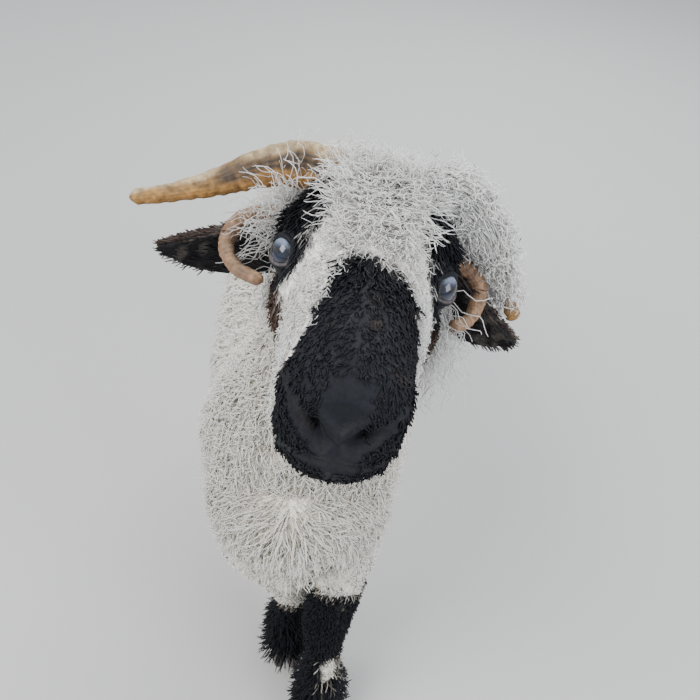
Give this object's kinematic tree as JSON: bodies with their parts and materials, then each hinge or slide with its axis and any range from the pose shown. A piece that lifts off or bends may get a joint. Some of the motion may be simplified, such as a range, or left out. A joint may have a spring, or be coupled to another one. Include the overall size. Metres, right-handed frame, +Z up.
{
  "type": "valais blacknose sheep",
  "caption": "Still, life-size model of a standing young horned sheep with a curly pale fleece, black face and black socks, its head raised and tipped to one side.",
  "frame": {"origin": "middle of the animal's outline, on the floor under its hooves", "axes": "+Z up, the animal faces -Y, +X towards its left side"},
  "size_m": [0.3268, 0.9166, 0.8793],
  "materials": {
    "fleece": "dense, crimped, cream-white wool",
    "head_wool": "curly white wool on crown and brow over short black hair on the muzzle",
    "sock_hair": "black, fluffy, hanging hair",
    "ear_hair": "short brown-black hair",
    "horn": "ridged amber to grey-brown horn, satin",
    "eye": "wet, dark blue-black, opaque",
    "hoof": "worn grey-brown hoof"
  },
  "bodies": {
    "root": {"head": "head_wool", "neck": "fleece", "torso": "fleece", "tail": "fleece", "eye_left": "eye", "eye_right": "eye", "ear_left": "ear_hair", "ear_right": "ear_hair", "horn_left": "horn", "horn_right": "horn", "side_horn_left": "horn", "side_horn_right": "horn", "forearm_left": "fleece", "forearm_right": "fleece", "fore_sock_left": "sock_hair", "fore_sock_right": "sock_hair", "fore_claw_left_out": "hoof", "fore_claw_left_in": "hoof", "fore_claw_right_out": "hoof", "fore_claw_right_in": "hoof", "thigh_left": "fleece", "thigh_right": "fleece", "hind_shank_left": "fleece", "hind_shank_right": "fleece", "hind_sock_left": "sock_hair", "hind_sock_right": "sock_hair", "hind_claw_left_out": "hoof", "hind_claw_left_in": "hoof", "hind_claw_right_out": "hoof", "hind_claw_right_in": "hoof"}
  },
  "joints": []
}
